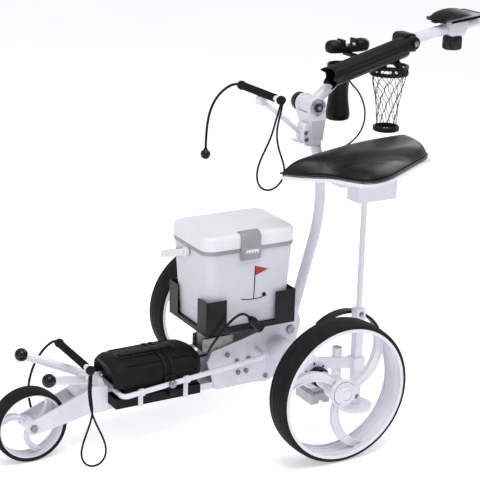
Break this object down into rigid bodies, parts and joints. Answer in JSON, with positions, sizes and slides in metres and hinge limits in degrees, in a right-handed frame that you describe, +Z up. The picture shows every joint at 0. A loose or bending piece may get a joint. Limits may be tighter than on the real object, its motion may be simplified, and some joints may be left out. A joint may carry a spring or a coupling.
{
  "type": "electric golf trolley",
  "caption": "Electric golf trolley with battery tray, folding handle, bag supports, padded side seat, lift-out cooler and handle accessories.",
  "frame": {"origin": "on the ground below the middle of the rear axle, which is also the middle of the bounding box's base", "axes": "+X forward towards the front wheel, +Y to the trolley's left, +Z up"},
  "size_m": [1.387, 0.66, 0.9325],
  "materials": {
    "front_frame": "gloss white enamel",
    "battery_rails": "gloss white enamel",
    "junction_plate_left": "gloss white enamel",
    "junction_plate_right": "gloss white enamel",
    "axle_housing": "gloss white enamel",
    "motor_left": "gloss white enamel",
    "motor_right": "gloss white enamel",
    "post": "gloss white enamel",
    "rear_arm": "gloss white enamel",
    "lower_cradle": "gloss white enamel",
    "bag_bracket": "gloss white enamel",
    "seat_bracket": "gloss white enamel",
    "seat_leg_upper": "gloss white enamel",
    "seat_leg_lower": "gloss white enamel",
    "handle_tube": "gloss white enamel",
    "rear_rim_left": "gloss white moulding",
    "rear_rim_right": "gloss white moulding",
    "front_rim": "gloss white moulding",
    "rear_tyre_left": "matt black rubber",
    "rear_tyre_right": "matt black rubber",
    "front_tyre": "matt black rubber",
    "frame_bolts": "zinc plated steel",
    "tray_bracket": "galvanised steel",
    "controller_box": "grey cast housing",
    "cooler_tray": "satin black powder coat",
    "battery_pan": "black woven fabric",
    "battery_strap": "black woven fabric",
    "battery_case": "black woven fabric",
    "upper_strap_loop": "black braided elastic",
    "upper_strap_tail": "black braided elastic",
    "lower_strap_loop": "black braided elastic",
    "lower_strap_tail": "black braided elastic",
    "battery_cable": "matt black",
    "battery_plug": "matt black",
    "control_cable": "matt black",
    "strap_knots": "matt black",
    "upper_strap_bar": "matt black",
    "lower_strap_bar": "matt black",
    "handle_grips": "matt black",
    "wheel_collar_left": "satin black moulding",
    "wheel_collar_right": "satin black moulding",
    "hinge_knob": "satin black moulding",
    "control_head": "satin black moulding",
    "speed_dial": "satin black moulding",
    "accessory_clamps": "satin black moulding",
    "cup_holder": "satin black moulding",
    "scorecard_clip": "satin black moulding",
    "phone_cradle": "satin black moulding",
    "umbrella_holder": "satin black moulding",
    "net_rings": "satin black moulding",
    "scorecard_knob": "satin black moulding",
    "wheel_guard": "satin black moulding",
    "power_button": "red button",
    "scorecard_plate": "grey plate",
    "net_mesh": "black knotted cord net",
    "seat_pad": "black grained leather",
    "cooler_body": "light grey moulding",
    "cooler_lid": "light grey moulding",
    "cooler_bail": "light grey moulding",
    "cooler_latch": "mid grey moulding"
  },
  "bodies": {
    "frame": {"frame_bolts": "frame_bolts", "front_frame": "front_frame", "battery_rails": "battery_rails", "junction_plate_left": "junction_plate_left", "junction_plate_right": "junction_plate_right", "axle_housing": "axle_housing", "motor_left": "motor_left", "motor_right": "motor_right", "controller_box": "controller_box", "post": "post", "rear_arm": "rear_arm", "battery_pan": "battery_pan", "battery_case": "battery_case", "battery_strap": "battery_strap", "tray_bracket": "tray_bracket", "cooler_tray": "cooler_tray", "lower_cradle": "lower_cradle", "lower_strap_bar": "lower_strap_bar", "bag_bracket": "bag_bracket", "upper_strap_bar": "upper_strap_bar", "seat_pad": "seat_pad", "seat_bracket": "seat_bracket", "seat_leg_upper": "seat_leg_upper", "upper_strap_loop": "upper_strap_loop", "upper_strap_tail": "upper_strap_tail", "lower_strap_loop": "lower_strap_loop", "lower_strap_tail": "lower_strap_tail", "battery_cable": "battery_cable", "battery_plug": "battery_plug", "control_cable": "control_cable", "strap_knots": "strap_knots"},
    "wheel_left": {"rear_tyre_left": "rear_tyre_left", "rear_rim_left": "rear_rim_left"},
    "wheel_right": {"rear_tyre_right": "rear_tyre_right", "rear_rim_right": "rear_rim_right"},
    "collar_left": {"wheel_collar_left": "wheel_collar_left"},
    "collar_right": {"wheel_collar_right": "wheel_collar_right"},
    "front_wheel": {"front_tyre": "front_tyre", "front_rim": "front_rim"},
    "leg": {"seat_leg_lower": "seat_leg_lower", "wheel_guard": "wheel_guard"},
    "handle": {"handle_tube": "handle_tube", "handle_grips": "handle_grips", "control_head": "control_head", "accessory_clamps": "accessory_clamps", "cup_holder": "cup_holder", "scorecard_plate": "scorecard_plate"},
    "knob": {"hinge_knob": "hinge_knob"},
    "dial": {"speed_dial": "speed_dial"},
    "button": {"power_button": "power_button"},
    "phone": {"phone_cradle": "phone_cradle"},
    "umbrella": {"umbrella_holder": "umbrella_holder"},
    "net": {"net_rings": "net_rings", "net_mesh": "net_mesh"},
    "clip": {"scorecard_clip": "scorecard_clip"},
    "card_knob": {"scorecard_knob": "scorecard_knob"},
    "cooler": {"cooler_body": "cooler_body"},
    "lid": {"cooler_lid": "cooler_lid"},
    "latch": {"cooler_latch": "cooler_latch"},
    "bail": {"cooler_bail": "cooler_bail"}
  },
  "joints": [
    {"name": "wheel_left_spin", "type": "hinge", "parent": "frame", "child": "wheel_left", "pos_m": [0, 0.2945, 0.162], "axis": [0, 1, 0], "continuous": true},
    {"name": "wheel_right_spin", "type": "hinge", "parent": "frame", "child": "wheel_right", "pos_m": [0, -0.2945, 0.162], "axis": [0, 1, 0], "continuous": true},
    {"name": "collar_left_slide", "type": "slide", "parent": "wheel_left", "child": "collar_left", "axis": [0, 1, 0], "range_m": [0, 0.0035], "stiffness_N_per_m": 800},
    {"name": "collar_right_slide", "type": "slide", "parent": "wheel_right", "child": "collar_right", "axis": [0, -1, 0], "range_m": [0, 0.0035], "stiffness_N_per_m": 800},
    {"name": "front_wheel_spin", "type": "hinge", "parent": "frame", "child": "front_wheel", "pos_m": [0.61, 0, 0.0835], "axis": [0, 1, 0], "continuous": true},
    {"name": "leg_slide", "type": "slide", "parent": "frame", "child": "leg", "axis": [0, 0, 1], "range_m": [0, 0.055]},
    {"name": "handle_fold", "type": "hinge", "parent": "frame", "child": "handle", "pos_m": [-0.087, 0, 0.73], "axis": [0, 1, 0], "range_deg": [0, 70], "deforming": ["control_cable"]},
    {"name": "hinge_knob_turn", "type": "hinge", "parent": "frame", "child": "knob", "pos_m": [-0.087, -0.044, 0.73], "axis": [0, 1, 0], "range_deg": [-180, 180]},
    {"name": "speed_dial_turn", "type": "hinge", "parent": "handle", "child": "dial", "pos_m": [-0.612, -0.011, 0.922], "axis": [0, 0, 1], "range_deg": [0, 270]},
    {"name": "power_button_press", "type": "slide", "parent": "handle", "child": "button", "axis": [0, 0, -1], "range_m": [0, 0.0015], "stiffness_N_per_m": 600},
    {"name": "phone_cradle_swivel", "type": "hinge", "parent": "handle", "child": "phone", "pos_m": [-0.21, -0.045, 0.845], "axis": [0, 0, 1], "range_deg": [-25, 25]},
    {"name": "umbrella_tilt", "type": "hinge", "parent": "handle", "child": "umbrella", "pos_m": [-0.331, 0.04, 0.86], "axis": [0, -1, 0], "range_deg": [0, 95]},
    {"name": "net_swing", "type": "hinge", "parent": "handle", "child": "net", "pos_m": [-0.298, 0, 0.82], "axis": [0, 1, 0], "range_deg": [-5, 15]},
    {"name": "clip_lift", "type": "hinge", "parent": "handle", "child": "clip", "pos_m": [-0.426, 0, 0.9058], "axis": [0, 1, 0], "range_deg": [0, 35], "stiffness_Nm_per_rad": 0.15},
    {"name": "card_knob_turn", "type": "hinge", "parent": "handle", "child": "card_knob", "pos_m": [-0.475, 0, 0.845], "axis": [0, 0, 1], "range_deg": [-180, 180]},
    {"name": "cooler_lift", "type": "slide", "parent": "frame", "child": "cooler", "axis": [0, 0, 1], "range_m": [0, 0.06]},
    {"name": "lid_open", "type": "hinge", "parent": "cooler", "child": "lid", "pos_m": [0.107, -0.0885, 0.4459], "axis": [1, 0, 0], "range_deg": [0, 95]},
    {"name": "latch_release", "type": "hinge", "parent": "lid", "child": "latch", "pos_m": [0.108, 0.071, 0.48], "axis": [1, 0, 0], "range_deg": [0, 60]},
    {"name": "bail_swing", "type": "hinge", "parent": "cooler", "child": "bail", "pos_m": [0.107, 0, 0.425], "axis": [-1, 0, 0], "range_deg": [0, 109]}
  ]
}
